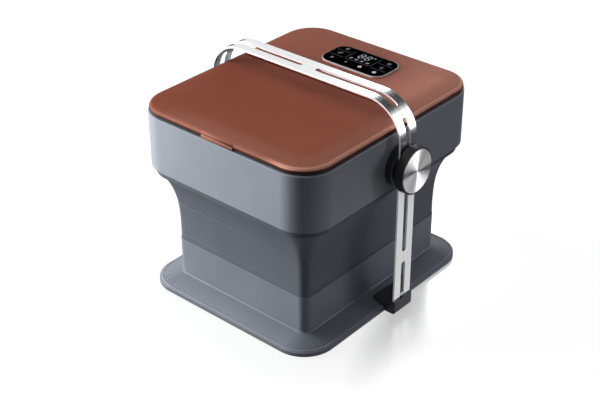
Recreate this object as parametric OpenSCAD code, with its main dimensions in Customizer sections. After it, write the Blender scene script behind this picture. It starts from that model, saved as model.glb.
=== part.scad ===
// Folding pedicure foot bath: rigid footplate and lower tub, silicone folding wall, stiff upper
// shell with a leather-look top, and a slotted U-frame that guides the fold and carries the bath.
// Origin at the centre of the underside, +X right along the front, +Y rear, +Z up, millimetres.

/* [Upper shell] */
// Width of the upper shell over its side walls
shell_w = 348; // [330:1:380]
// Depth of the upper shell from front to rear
shell_d = 408; // [380:1:440]
// Outer corner radius of the upper shell
shell_r = 54; // [50:1:62]
// Height of the lower edge of the upper shell above the floor, unfolded
shell_z = 219; // [214:1:225]
// Height of the upper shell wall
shell_h = 93; // [85:1:100]
// Wall thickness of the moulded housings
wall = 3; // [2.5:0.1:3.5]
// Gap between the outer wall and the inner wall of the upper shell
shell_cavity = 6.5; // [6.3:0.1:7.5]

/* [Footplate and lower tub] */
// How far the lower band stands in from the upper shell, on every side
band_inset = 38.5; // [35:0.5:42]
// Height of the top edge of the lower band
band_z = 82; // [78:1:86]
// Height of the footplate's top face where it meets the band
slope_z = 18; // [16:0.5:20]
// Height of the footplate's top face at its rim
rim_z = 7.5; // [6.5:0.1:8.5]
// Height of the top of the tub floor
floor_z = 50; // [48:0.5:54]
// Thickness of the rubber feet below the cover
foot_h = 1.5; // [1:0.1:2.5]
// Diameter of the rubber feet
foot_dia = 24; // [18:1:30]
// Outer diameter of the posts that take the cover screws
post_dia = 10; // [8:0.5:12]
// Thread diameter of the housing screws
screw_dia = 3.5; // [3:0.1:4]

/* [Silicone wall] */
// Thickness of the silicone
skin = 2.5; // [2:0.1:3]
// Height of the upper end of the silicone, inside the upper shell
silicone_top = 240; // [236:1:246]
// Height of the lower end of the silicone, inside the lower band
silicone_low = 64; // [62:1:68]
// Height at which the flare of the silicone ends below the upper shell
flare_z = 212; // [208:1:214]
// Exponent of the flare: higher keeps the wall upright for longer
flare_power = 3.5; // [2.5:0.1:4.5]

/* [Top] */
// Dark gap between the upper shell and the top
seal_gap = 4.5; // [3.5:0.1:6]
// Thickness of the leather-look top
top_h = 8; // [7:0.5:10]
// How far the top stands in from the upper shell
top_inset = 1.7; // [1:0.1:3]
// Radius of the soft upper edge of the top
top_edge_r = 6; // [4:0.5:6.5]
// Distance of the lid's hinge line behind the centre of the bath
hinge_y = 31; // [29:0.5:34]
// Diameter of the rod that the lid tilts on
lid_rod_dia = 2.6; // [2.2:0.1:2.8]
// Width of each knuckle under the lid
knuckle_w = 16; // [10:1:20]
// Length of the shoes that carry the rod along the rim
shoe_l = 13; // [10:0.5:16]
// Depth of the bevel on the lid's rear edge
lid_bevel = 2.5; // [1.5:0.1:3]
// Width of the thumb tab
tab_w = 63; // [50:1:75]
// Thickness of the thumb tab
tab_t = 1.6; // [1:0.1:1.7]

/* [Display] */
// Width of the display bezel
panel_w = 124; // [110:1:135]
// Depth of the display bezel
panel_d = 66; // [60:1:72]
// Corner radius of the display bezel
panel_r = 20; // [15:1:24]
// Height of the bezel above the top
panel_h = 3; // [2:0.1:4]
// Distance of the display's centre in front of the rear face
panel_back = 78; // [72:1:84]
// Width of the bright rim around the display glass
bezel_rim = 2.5; // [2:0.1:4]

/* [Carrying frame] */
// Distance of the frame's outer face outside the shell's side
bar_stand = 16.5; // [15:0.5:22]
// Width of the flat bar
bar_w = 40; // [34:1:46]
// Thickness of the flat bar
bar_t = 3; // [2.5:0.1:4]
// Height of the top of the arch
bar_top = 362; // [358:1:372]
// Outer radius of the two upper bends
bend_r = 62; // [50:1:70]
// Distance of the frame's centre line behind the centre of the bath
bar_y = 2; // [0:0.5:4]
// Width of the slots
slot_w = 10; // [9:0.1:12]
// Height of the lower end of the long guide slot
guide_low = 109; // [106:1:113]
// Angle above the horizontal at which the guide slot ends in the bend
guide_end = 35; // [25:1:38]
// Angle above the horizontal at which the arch slot ends in the bend
arch_end = 52; // [48:1:60]
// Distance of the arch slots from the middle of the arch
arch_web = 13; // [10:1:16]
// Height of the upper end of the foot slot
foot_slot_top = 90; // [84:1:94]
// Height of the lower end of the foot slot
foot_slot_low = 18; // [16:1:20]
// Height of the foot of the bar
bar_low = 4; // [3:0.5:6]

/* [Knobs] */
// Height of the knobs, unfolded
knob_z = 257; // [254:1:262]
// Diameter of the knobs
knob_dia = 75; // [68:1:78]
// Diameter of the spun cap
cap_dia = 70; // [62:1:72]
// Thickness of the knob body
knob_h = 16; // [14:0.5:18]
// Diameter of the side bosses behind the bar
boss_dia = 68; // [60:1:74]
// Diameter of the studs that pass through the guide slots
stud_dia = 9.8; // [9:0.1:9.9]
// Diameter of the slip washer under each knob
washer_dia = 28; // [24:1:34]
// Thickness of the slip washer
washer_t = 1.5; // [1:0.1:2]

/* [Foot brackets] */
// How far the bracket stands past the bar on each side
bracket_lip = 1.5; // [1:0.1:3]
// Height of the bracket's outer wall
bracket_h = 23.5; // [20:0.5:28]
// Height of the bracket's back plate
backplate_h = 57; // [48:1:62]
// Thickness of the back plate
backplate_t = 4.5; // [3.5:0.1:6]
// Thickness of the tongue that lies on the footplate
tongue_t = 4; // [3:0.1:5]
// Reach of the tongue over the footplate
tongue_l = 24; // [18:1:28]
// Height of the clamp screw in the foot slot
pin_z = 28.5; // [27:0.5:32]
// Head diameter of the clamp screw
pin_dia = 7.5; // [6:0.1:8.5]

/* [Tub fittings] */
// Width of one foot plate
plate_w = 108; // [96:1:112]
// Length of one foot plate
plate_l = 238; // [220:1:244]
// Height of the foot plates' top above the tub floor
plate_h = 14; // [12:0.5:16]
// Diameter of the massage rollers, without their nubs
roller_dia = 24; // [20:1:26]
// Length of the massage rollers
roller_l = 78; // [60:1:84]
// Diameter of the roller axles
axle_dia = 4; // [3:0.1:5]
// Distance between the two rollers under one foot
roller_pitch = 120; // [100:1:140]
// Bore of the drain standpipe
drain_dia = 26; // [22:1:30]
// Lift of the drain stopper
drain_lift = 30; // [20:1:40]

/* [Electrics] */
// Diameter of the pump housing
pump_dia = 46; // [40:1:50]
// Height of the pump housing
pump_h = 15; // [13:0.5:16]
// Diameter of the pump motor
motor_dia = 28; // [24:1:32]
// Outer diameter of the impeller
impeller_dia = 34; // [28:1:36]
// Length of the heater block
heater_l = 110; // [90:1:120]
// Width of the heater block
heater_w = 34; // [28:1:38]
// Height of the heater block
heater_h = 24; // [20:1:28]
// Length of the main board
board_l = 120; // [90:1:130]
// Width of the main board
board_w = 74; // [60:1:80]
// Width of the power inlet
inlet_w = 26; // [22:1:30]
// Height of the power inlet
inlet_h = 16; // [14:1:18]

/* [Hidden] */

$fn = 96;
// Running clearance on a radius
run = 0.05;
// Gap kept between bodies that pass each other without touching
gap = 0.3;
// Overlap that lets a cut pass right through
eps = 0.1;

// Corner centres shared by every level of the housing
corner_x = shell_w / 2 - shell_r;
corner_y = shell_d / 2 - shell_r;
// Radii from those corner centres
band_r = shell_r - band_inset;
band_in = band_r - wall;
shell_in = shell_r - wall;
liner_out = shell_in - shell_cavity;
liner_in = liner_out - wall;
top_r = shell_r - top_inset;
// Heights
shell_top = shell_z + shell_h;
top_low = shell_top + seal_gap;
top_z = top_low + top_h;
cover_low = foot_h;
cover_top = cover_low + wall;
ceiling_z = floor_z - wall;
plate_z = floor_z + plate_h;
liner_low = flare_z + 1;
// Upright legs of the silicone, held between the inner wall and the clamp ring
leg_in = liner_out + gap;
leg_out = leg_in + skin;
// Underside of the rear deck and top of the frame that carries it
deck_low = top_low - gap;
// Tilt axis of the lid, in the gap between the rim and the top
hinge_z = shell_top + seal_gap / 2;
lid_rear = hinge_y + lid_rod_dia / 2 + 0.2;
deck_front = lid_rear + lid_bevel + 0.5;
front_y = -(corner_y + top_r);
knuckle_wall = 0.3;
knuckle_places = [-140, -60, 60, 140];
// Strip of the rim that the seal and shoes lie on, inside the guide rails
strip_in = liner_in + 2.5;
strip_out = shell_r - 4;
rail_t = 1.5;
rail_h = 3.5;
shoe_rear = hinge_y + lid_rod_dia / 2 + 2;
// Centre and board of the display
panel_y = shell_d / 2 - panel_back;
board_side = 17;
board_end = 8;
display_board_w = panel_w - 2 * board_side;
display_board_d = panel_d - 2 * board_end;
// Circuit boards and the parts soldered on them
pcb_t = 1.6;
relay = [18, 22, 14];
capacitor_d = 16;
capacitor_h = 20;
transformer = [14, 28, 9];
terminals = [16, 12, 6];
driver = [30, 20, 5];
// Carrying frame
bar_x = shell_w / 2 + bar_stand;
bar_in = bar_x - bar_t;
bend_x = bar_x - bend_r;
bend_z = bar_top - bend_r;
slot_turn = asin(slot_w / 2 / bend_r);
// Knobs, measured along +X from the frame
washer_x = bar_x + gap;
knob_x = washer_x + washer_t + gap / 2;
cap_seat = 1.6;
stud_end = knob_x + knob_h - cap_seat - 4;
boss_screw_r = 22;
stud_flange = 20;
// Foot plates and rollers
plate_x = 62;
plate_y = -29;
plate_t = 3;
nub_h = 2.5;
roller_z = floor_z + 15;
roller_y = [plate_y - roller_pitch / 2, plate_y + roller_pitch / 2];
cheek_t = 5;
window_w = roller_dia + 2 * nub_h + 6;
// Fittings in the rear of the tub floor
tub_rear = corner_y + band_in;
drain_at = [25 - corner_x, tub_rear - 34.5];
pump_at = [60, tub_rear - 38.5];
probe_at = [10, tub_rear - 34.5];
probe_dia = 6;
probe_reach = 10;
probe_tail = 12;
motor_h = 22;
clamp_h = 16;
rim_lip = 12;
drain_pipe = drain_dia + 2 * wall;
seal_r = 1;
inlet_bore = 12;
shaft_dia = 3;
spigot_dia = 9.8;
spigot_bore = 6;
spigot_z = ceiling_z - pump_h / 2;
spigot_l = 14;
heater_y = 5;
heater_end = heater_y + heater_l / 2;
heater_outlet_y = heater_y - heater_l / 2 + 12;
hose_l = pump_at[1] - pump_dia / 2 - heater_end - 2;
board_at = [-62, -20];
board_z = cover_top + 5.5;
inlet_z = 31;
screw_head = 2 * screw_dia;
screw_reach = 10;
bracket_screw_x = shell_w / 2 - 16;
bracket_screw_y = [bar_y - 12, bar_y + 12];
deck_screw_places = [for (x = [-1, 1], y = [deck_front + 24.5, corner_y]) [x * (corner_x + 10), y]];
tab_seat = 3;
posts = [
  for (x = [-1, 1], y = [-1, 1]) [x * (corner_x - 8), y * (corner_y - 8)],
  for (x = [-1, 1]) [x * (corner_x + 4), 0]
];

// Thickness that a tapered face of the footplate has at a distance out from the centre
function slope_at(x) = slope_z + (rim_z - slope_z) * (x - corner_x - band_r) / (shell_r - 1 - band_r);
// Outer face of the silicone wall at a height
function flare_at(z) =
  band_r + (leg_out - band_r) * pow((z - band_z) / (flare_z - band_z), flare_power);

// Outline of the housing, r out from its corner centres
module rounded(r) {
  square([2 * corner_x, 2 * (corner_y + r)], center = true);
  square([2 * (corner_x + r), 2 * corner_y], center = true);
  for (sx = [-1, 1], sy = [-1, 1])
    translate([sx * corner_x, sy * corner_y]) circle(r);
}

// Flat slab of the housing's outline between two heights
module slab(r, low, high) {
  translate([0, 0, low]) linear_extrude(high - low) rounded(r);
}

// Upright wall of the housing's outline
module ring(outer, inner, low, high) {
  difference() {
    slab(outer, low, high);
    slab(inner, low - eps, high + eps);
  }
}

// Sweeps a profile (distance out from the corner centres, height) around the housing
module around() {
  for (sx = [-1, 1], sy = [-1, 1])
    translate([sx * corner_x, sy * corner_y, 0])
      rotate(sx > 0 ? (sy > 0 ? 0 : 270) : (sy > 0 ? 90 : 180))
        rotate_extrude(angle = 90) children();
  for (turn = [0, 180]) rotate(turn) {
    translate([corner_x, 0, 0]) rotate([90, 0, 0])
      linear_extrude(2 * corner_y, center = true) children();
    translate([0, corner_y, 0]) rotate([90, 0, 90])
      linear_extrude(2 * corner_x, center = true) children();
  }
}

// Everything in front of (side = -1) or behind (side = 1) a line across the bath
module half(side, y) {
  translate([0, y + side * shell_d, shell_top]) cube([2 * shell_w, 2 * shell_d, shell_h], center = true);
}

// Cylinder along +X from one station to another
module along_x(d, from, to) {
  translate([from, 0, 0]) rotate([0, 90, 0]) cylinder(d = d, h = to - from);
}

// Right-hand piece as drawn, or its mirror image on the left
module sided(side) {
  if (side > 0) children();
  else mirror([1, 0, 0]) children();
}

// Moves a right-hand piece to the axis of the knob and stud
module at_knob(side) {
  sided(side) translate([0, bar_y, knob_z]) children();
}

// Footplate, lower band, tub floor and standpipe in one moulding
module base_tub() {
  color("#6d747e") difference() {
    union() {
      around() polygon([
        [band_in, band_z], [band_r, band_z], [band_r, slope_z], [shell_r - 1, rim_z],
        [shell_r, rim_z - 1], [shell_r, cover_low], [shell_in, cover_low],
        [shell_in, cover_top], [band_r, slope_z - wall], [band_in, slope_z - wall]
      ]);
      slab(band_in + wall / 2, ceiling_z, floor_z);
      translate([drain_at[0], drain_at[1], cover_low]) cylinder(d = drain_pipe, h = floor_z - cover_low);
      for (p = posts)
        translate([p[0], p[1], cover_top]) cylinder(d = post_dia, h = ceiling_z - cover_top + eps);
    }
    translate([drain_at[0], drain_at[1], cover_low - eps]) cylinder(d = drain_dia, h = floor_z + 1);
    translate([pump_at[0], pump_at[1], ceiling_z - eps]) cylinder(d = inlet_bore, h = wall + 2 * eps);
    translate([probe_at[0], probe_at[1], ceiling_z - eps]) cylinder(d = probe_dia, h = wall + 2 * eps);
    translate([pump_at[0], heater_outlet_y, ceiling_z - eps]) cylinder(d = spigot_dia, h = wall + 2 * eps);
    for (p = posts)
      translate([p[0], p[1], cover_top - eps]) cylinder(d = screw_dia, h = screw_reach);
    translate([0, corner_y + band_r - wall / 2, inlet_z])
      cube([inlet_w - 4, wall + 2 * eps, inlet_h - 4], center = true);
    for (side = [-1, 1], y = bracket_screw_y)
      translate([side * bracket_screw_x, y, 0]) cylinder(d = screw_dia, h = slope_z);
  }
}

// Flat cover under the footplate, with the posts that carry the main board
module bottom_cover() {
  color("#3a3d42") difference() {
    union() {
      slab(shell_in - gap, cover_low, cover_top);
      for (x = [-1, 1], y = [-1, 1])
        translate([board_at[0] + x * (board_w / 2 - 5), board_at[1] + y * (board_l / 2 - 5), cover_top - eps])
          cylinder(d = 7, h = board_z - cover_top + eps);
    }
    translate([drain_at[0], drain_at[1], cover_low - eps])
      cylinder(d = drain_pipe + 2 * gap, h = wall + 2 * eps);
    for (p = posts) translate([p[0], p[1], cover_low - eps]) {
      cylinder(d = screw_dia + 0.4, h = wall + 2 * eps);
      cylinder(d = screw_head + 0.4, h = 1.6 + eps);
    }
  }
}

// Screws that hold the cover to the posts
module cover_screws() {
  color("silver") for (p = posts) translate([p[0], p[1], cover_low + 0.1]) {
    cylinder(d = screw_head, h = 1.5);
    cylinder(d = screw_dia, h = wall + screw_reach - 1);
  }
}

// Round pads that the bath stands on
module rubber_feet() {
  color("#202020") for (x = [-1, 1], y = [-1, 1])
    translate([x * (corner_x + 14), y * (corner_y + 14), 0]) cylinder(d = foot_dia, h = foot_h);
}

// Raised foot rest with acupressure nubs, windows for two rollers and the cheeks of their axles
module foot_plate(side) {
  color("#8d949c") sided(side) translate([plate_x, plate_y, 0]) difference() {
    union() {
      difference() {
        translate([-plate_w / 2, -plate_l / 2, floor_z]) cube([plate_w, plate_l, plate_h]);
        translate([-plate_w / 2 + plate_t, -plate_l / 2 + plate_t, floor_z - eps])
          cube([plate_w - 2 * plate_t, plate_l - 2 * plate_t, plate_h - plate_t + eps]);
        for (s = [-1, 1])
          translate([0, s * roller_pitch / 2, plate_z])
            cube([roller_l + 2, window_w, 4 * plate_t], center = true);
      }
      for (s = [-1, 1], e = [-1, 1])
        translate([e * (roller_l / 2 + 1 + cheek_t / 2), s * roller_pitch / 2, 0]) {
          translate([-cheek_t / 2, -7, floor_z]) cube([cheek_t, 14, roller_z - floor_z]);
          translate([0, 0, roller_z]) along_x(14, -cheek_t / 2, cheek_t / 2);
        }
      for (ix = [-2 : 2], y = [-100, -24, -8, 8, 24, 100])
        translate([ix * plate_w / 6, y, plate_z]) cylinder(d1 = 9, d2 = 5, h = nub_h);
    }
    for (s = [-1, 1])
      translate([0, s * roller_pitch / 2, roller_z]) along_x(axle_dia, -plate_w, plate_w);
  }
}

// Massage roller: waisted barrel with three rings of nubs, turning on its axle
module roller(side, y) {
  color("#c9cdd2") translate([side * plate_x, y, roller_z]) difference() {
    union() {
      along_x(roller_dia, -roller_l / 2, roller_l / 2);
      for (x = [-1, 0, 1], a = [0 : 60 : 300])
        translate([x * roller_l / 3.4, 0, 0]) rotate([a + 30 * x, 0, 0])
          translate([0, 0, roller_dia / 2 - 1]) cylinder(d1 = 9, d2 = 5, h = nub_h + 1);
    }
    along_x(axle_dia + 2 * run, -roller_l, roller_l);
  }
}

// Steel axles pressed into the cheeks of the foot plates
module roller_axles() {
  color("silver") for (side = [-1, 1], y = roller_y)
    translate([side * plate_x, y, roller_z])
      along_x(axle_dia, -roller_l / 2 - 1 - cheek_t, roller_l / 2 + 1 + cheek_t);
}

// Stopper that closes the standpipe, with a groove for its seal and a grip on top
module drain_plug() {
  color("#303338") translate([drain_at[0], drain_at[1], floor_z]) difference() {
    rotate_extrude() polygon([
      [0, -10], [drain_dia / 2 - 1.5, -10], [drain_dia / 2 - run, -8.5], [drain_dia / 2 - run, 0],
      [drain_dia / 2 + 6, 0], [drain_dia / 2 + 6, 2], [drain_dia / 2 + 5, 3], [6, 3], [5, 7], [9, 11],
      [9, 13], [8, 14], [0, 14]
    ]);
    rotate_extrude() translate([drain_dia / 2 - run - 2 * seal_r, -5 - seal_r]) square([2 * seal_r + 1, 2 * seal_r]);
  }
}

// Round seal in the stopper's groove
module drain_seal() {
  color("#1c1c1e") translate([drain_at[0], drain_at[1], floor_z - 5])
    rotate_extrude() translate([drain_dia / 2 - run - seal_r, 0]) circle(seal_r - run, $fn = 32);
}

// Perforated disc over the pump's inlet
module suction_grille() {
  color("#5a6068") translate([pump_at[0], pump_at[1], floor_z]) difference() {
    cylinder(d = pump_dia - 4, h = 3);
    translate([0, 0, -eps]) cylinder(d = pump_dia - 10, h = 1.5 + eps);
    for (a = [0 : 45 : 315]) rotate(a) translate([pump_dia / 4, 0, -eps]) cylinder(d = 4.5, h = 4);
    translate([0, 0, -eps]) cylinder(d = 5, h = 4);
  }
}

// Steel probe that reads the water temperature
module temperature_probe() {
  color("silver") translate([probe_at[0], probe_at[1], 0]) {
    translate([0, 0, ceiling_z - probe_tail]) cylinder(d = probe_dia, h = wall + probe_tail + probe_reach);
    translate([0, 0, floor_z]) cylinder(d = 2 * probe_dia, h = 2);
  }
}

// Volute of the circulation pump, hanging under the tub floor
module pump_housing() {
  color("#4a4e55") translate([pump_at[0], pump_at[1], ceiling_z - pump_h]) difference() {
    union() {
      cylinder(d = pump_dia, h = pump_h);
      translate([0, 0, pump_h / 2]) rotate([90, 0, 0]) cylinder(d = spigot_dia, h = pump_dia / 2 + spigot_l);
    }
    translate([0, 0, 2]) cylinder(d = pump_dia - 5, h = pump_h - 4);
    translate([0, 0, -eps]) cylinder(d = shaft_dia + 2, h = pump_h);
    translate([0, 0, pump_h / 2]) cylinder(d = inlet_bore, h = pump_h);
    translate([0, 0, pump_h / 2]) rotate([90, 0, 0]) cylinder(d = spigot_bore, h = pump_dia);
  }
}

// Impeller and shaft of the pump
module pump_impeller() {
  color("#d8dadc") translate([pump_at[0], pump_at[1], ceiling_z - pump_h]) {
    translate([0, 0, 3]) cylinder(d = impeller_dia, h = 2);
    for (a = [0 : 60 : 300]) rotate(a)
      translate([3, -0.8, 4.9]) cube([impeller_dia / 2 - 4, 1.6, pump_h - 10]);
    translate([0, 0, -12]) cylinder(d = shaft_dia, h = pump_h + 6);
  }
}

// Motor below the pump, bored for the shaft
module pump_motor() {
  color("#9a9da2") translate([pump_at[0], pump_at[1], ceiling_z - pump_h - motor_h]) difference() {
    cylinder(d = motor_dia, h = motor_h);
    translate([0, 0, 8]) cylinder(d = shaft_dia + 2 * run, h = motor_h);
  }
}

// Straight hose from the pump's spigot to the heater's
module pump_hose() {
  color("#e0d8c8") translate([pump_at[0], heater_end + 1, spigot_z]) rotate([-90, 0, 0]) difference() {
    cylinder(d = spigot_dia + 4, h = hose_l);
    translate([0, 0, -eps]) cylinder(d = spigot_dia, h = hose_l + 2 * eps);
  }
}

// Heater block with an inlet spigot towards the pump and an outlet up through the floor
module heater_block() {
  color("#b9bcc0") difference() {
    union() {
      translate([pump_at[0] - heater_w / 2, heater_y - heater_l / 2, ceiling_z - heater_h])
        cube([heater_w, heater_l, heater_h]);
      translate([pump_at[0], heater_end, spigot_z]) rotate([-90, 0, 0]) cylinder(d = spigot_dia, h = spigot_l);
      translate([pump_at[0], heater_outlet_y, ceiling_z - eps]) cylinder(d = spigot_dia, h = wall + 3);
    }
    translate([pump_at[0], heater_outlet_y, spigot_z]) {
      rotate([-90, 0, 0]) cylinder(d = spigot_bore, h = heater_l + spigot_l);
      cylinder(d = spigot_bore, h = floor_z);
    }
    for (y = [-4 : 4], s = [-1, 1])
      translate([pump_at[0] + s * heater_w / 2, heater_y + y * heater_l / 10, ceiling_z - heater_h / 2])
        cube([8, heater_l / 20, heater_h - 8], center = true);
  }
}

// Main board with its relay, capacitor and connectors
module main_board() {
  color("#2f6b45") translate([board_at[0], board_at[1], board_z]) {
    translate([-board_w / 2, -board_l / 2, 0]) cube([board_w, board_l, pcb_t]);
    translate([-board_w / 4, -board_l / 4, pcb_t - 0.1]) cube(relay);
    translate([board_w / 8, -board_l / 4, pcb_t - 0.1]) cylinder(d = capacitor_d, h = capacitor_h);
    translate([-board_w / 4, board_l / 8, pcb_t - 0.1]) cube(transformer);
    translate([board_w / 8, board_l / 8, pcb_t - 0.1]) cube(terminals);
  }
}

// Two-pin power inlet in the rear of the lower band
module power_inlet() {
  color("#1b1c1e") translate([0, corner_y + band_r, inlet_z]) {
    difference() {
      union() {
        translate([-inlet_w / 2, 0, -inlet_h / 2]) cube([inlet_w, 2, inlet_h]);
        translate([-inlet_w / 2 + 2, -24, -inlet_h / 2 + 2]) cube([inlet_w - 4, 24 + eps, inlet_h - 4]);
      }
      translate([-inlet_w / 2 + 5, -14, -inlet_h / 2 + 4]) cube([inlet_w - 10, 17, inlet_h - 8]);
    }
    for (x = [-1, 1]) translate([x * inlet_w / 7, 0, 0]) rotate([90, 0, 0]) cylinder(d = 2.4, h = 14.5);
  }
}

// Folding wall: hooks over the band, stands upright, flares out and rises inside the upper shell
module silicone_wall() {
  heights = [for (i = [0 : 14]) band_z + (flare_z - band_z) * (0.15 + 0.85 * i / 14)];
  color("#4d525b") around() polygon(concat(
    [[band_in - skin, silicone_low], [band_in, silicone_low], [band_in, band_z], [band_r, band_z]],
    [for (z = heights) [flare_at(z), z]],
    [[leg_out, silicone_top], [leg_in, silicone_top]],
    [for (i = [len(heights) - 1 : -1 : 0]) [flare_at(heights[i]) - skin, heights[i]]],
    [[band_r - skin, band_z + skin], [band_in - skin, band_z + skin]]
  ));
}

// Ring that presses the silicone against the inside of the lower band
module lower_clamp_ring() {
  color("#3c4046") ring(band_in - skin, band_in - skin - wall, silicone_low, band_z - 4);
}

// Ring that presses the silicone towards the inner wall of the upper shell
module upper_clamp_ring() {
  color("#3c4046") ring(shell_in, leg_out + gap, silicone_top - 2 - clamp_h, silicone_top - 2);
}

// Outer wall of the upper shell with its inward rim
module upper_shell() {
  color("#a9b0b8") difference() {
    around() polygon([
      [shell_in, shell_z], [shell_r - 1.5, shell_z], [shell_r, shell_z + 1.5],
      [shell_r, shell_top - 1], [shell_r - 1, shell_top], [liner_in, shell_top],
      [liner_in, shell_top - wall], [shell_in, shell_top - wall]
    ]);
    for (side = [-1, 1]) at_knob(side) {
      along_x(stud_dia, corner_x + shell_in - 1, shell_w / 2 + 1);
      for (a = [90, 210, 330]) rotate([a, 0, 0]) translate([0, boss_screw_r, 0])
        along_x(screw_dia, corner_x + shell_in - 1, shell_w / 2 + 1);
    }
  }
}

// Inner wall of the upper shell, which the silicone is clamped to
module upper_liner() {
  color("#989fa8") ring(liner_out, liner_in, liner_low, shell_top - wall);
}

// Low rails along both sides of the rim that guide the lid's shoes
module rim_rails() {
  color("#26282b") for (side = [-1, 1]) sided(side)
    translate([corner_x + strip_out + gap, 5 - corner_y, shell_top])
      cube([rail_t, shoe_rear + corner_y - 5, rail_h]);
}

// Frame across the rear of the rim: carries the deck and the display board
module deck_frame() {
  color("#2b2d31") difference() {
    union() {
      intersection() {
        union() {
          slab(strip_out, shell_top, deck_low);
          ring(liner_in - 1, liner_in - 1 - wall, shell_top - rim_lip, shell_top + eps);
        }
        half(1, deck_front);
      }
      translate([-(corner_x + liner_in - 1 - wall), deck_front, shell_top - rim_lip])
        cube([2 * (corner_x + liner_in - 1 - wall), wall, rim_lip + eps]);
      for (x = [-1, 1], y = [-1, 1])
        translate([x * (display_board_w / 2 - 5), panel_y + y * (display_board_d / 2 - 5), shell_top - 4])
          cylinder(d = 6, h = 4 + eps);
    }
    translate([0, panel_y, shell_top - eps]) cylinder(d = 10, h = seal_gap + 2 * eps);
    for (p = deck_screw_places) translate([p[0], p[1], shell_top - eps])
      cylinder(d = screw_dia, h = seal_gap + 2 * eps);
  }
}

// The whole top before it is parted: flat, with a soft upper edge
module top_body(low) {
  around() difference() {
    union() {
      translate([0, low]) square([top_r - top_edge_r, top_z - low]);
      translate([0, low]) square([top_r, top_z - top_edge_r - low]);
      translate([top_r - top_edge_r, top_z - top_edge_r]) circle(top_edge_r);
    }
    translate([-1, low - top_edge_r]) square([top_r + 2, top_edge_r]);
  }
  slab(eps, low, top_z);
}

// Fixed rear part of the top, which carries the display
module rear_deck() {
  color("#8a4a38") difference() {
    intersection() {
      top_body(deck_low);
      half(1, deck_front);
    }
    translate([0, panel_y, deck_low - eps]) cylinder(d = 10, h = top_h + 1);
    for (p = deck_screw_places) translate([p[0], p[1], deck_low - eps]) cylinder(d = screw_dia, h = 5.5);
  }
}

// Screws that hold the deck from below
module deck_screws() {
  color("silver") for (p = deck_screw_places) translate([p[0], p[1], shell_top - 2]) {
    cylinder(d = screw_head, h = 2);
    cylinder(d = screw_dia, h = 2 + seal_gap + 5);
  }
}

// Rounded plate of the display, centred on the deck
module panel_plate(inset, low, high) {
  translate([0, panel_y, low]) linear_extrude(high - low) {
    square([panel_w - 2 * panel_r, panel_d - 2 * inset], center = true);
    square([panel_w - 2 * inset, panel_d - 2 * panel_r], center = true);
    for (x = [-1, 1], y = [-1, 1])
      translate([x * (panel_w / 2 - panel_r), y * (panel_d / 2 - panel_r)]) circle(panel_r - inset);
  }
}

// Bright raised bezel of the display
module panel_bezel() {
  color("#d9dbde") difference() {
    panel_plate(0, top_z, top_z + panel_h);
    panel_plate(bezel_rim, top_z + panel_h - 1.8, top_z + panel_h + eps);
  }
}

// Black glass of the display, with touch fields
module panel_glass() {
  color("#0c0c0e") panel_plate(bezel_rim, top_z + panel_h - 1.8, top_z + panel_h - 0.3);
}

// Board behind the display, on the frame's four posts
module display_board() {
  color("#2f6b45") translate([-display_board_w / 2, panel_y - display_board_d / 2, shell_top - 5.6]) {
    cube([display_board_w, display_board_d, pcb_t]);
    translate([(display_board_w - driver.x) / 2, (display_board_d - driver.y) / 2, -driver.z])
      cube([driver.x, driver.y, driver.z + eps]);
  }
}

// Steel rod that the lid tilts on, from shoe to shoe
module lid_rod() {
  color("silver") translate([0, hinge_y, hinge_z])
    along_x(lid_rod_dia, -(corner_x + strip_out), corner_x + strip_out);
}

// Shoes that carry the ends of the rod and run forward along the rim
module lid_shoes() {
  color("#26282b") for (side = [-1, 1]) sided(side) difference() {
    translate([corner_x + strip_in, shoe_rear - shoe_l, shell_top + gap])
      cube([strip_out - strip_in, shoe_l, hinge_z + lid_rod_dia / 2 + 0.2 - shell_top - gap]);
    translate([0, hinge_y, hinge_z]) along_x(lid_rod_dia, corner_x, corner_x + shell_r);
  }
}

// Front part of the top: tilts on its rod and draws forward under the frame
module lid_flap() {
  color("#8a4a38") difference() {
    union() {
      intersection() {
        top_body(top_low);
        half(-1, lid_rear);
      }
      for (x = knuckle_places)
        translate([x - knuckle_w / 2, lid_rear - 8, hinge_z - lid_rod_dia / 2 - knuckle_wall])
          cube([knuckle_w, 8, top_low - hinge_z + lid_rod_dia / 2 + knuckle_wall + eps]);
    }
    translate([0, hinge_y, hinge_z]) along_x(lid_rod_dia + 2 * run, -shell_w, shell_w);
    translate([0, lid_rear, top_z]) rotate([45, 0, 0])
      cube([2 * shell_w, lid_bevel * sqrt(2), lid_bevel * sqrt(2)], center = true);
    translate([-tab_w / 2, front_y - 1, top_low - eps]) cube([tab_w, 1 + tab_seat, tab_seat + 1.5 + eps]);
  }
}

// Stiff liner under the lid, over the opening
module lid_liner() {
  color("#9aa0a8") intersection() {
    slab(liner_in - 1.5, shell_top + 2 * gap, top_low);
    half(-1, lid_rear - 9);
  }
}

// Soft seal under the rim of the lid
module lid_seal() {
  color("#26282b") intersection() {
    ring(strip_out, strip_in, shell_top + gap, top_low);
    half(-1, shoe_rear - shoe_l - 2);
  }
}

// Thumb tab let into the front edge of the lid
module lid_tab() {
  color("#8a4a38") {
    translate([-tab_w / 2, front_y - tab_t, top_low]) cube([tab_w, tab_t + tab_seat, tab_seat + 1.5]);
    translate([-tab_w / 2, front_y - tab_t, shell_top + 0.5]) cube([tab_w, tab_t, seal_gap]);
  }
}

// Outline of the frame, a given distance inside its outer face
module arch(inside) {
  r = bend_r - inside;
  translate([-(bar_x - inside), bar_low - inside]) square([2 * (bar_x - inside), bend_z - bar_low + inside]);
  translate([-bend_x, bar_low - inside]) square([2 * bend_x, bend_z + r - bar_low + inside]);
  for (side = [-1, 1]) translate([side * bend_x, bend_z]) circle(r);
}

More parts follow.
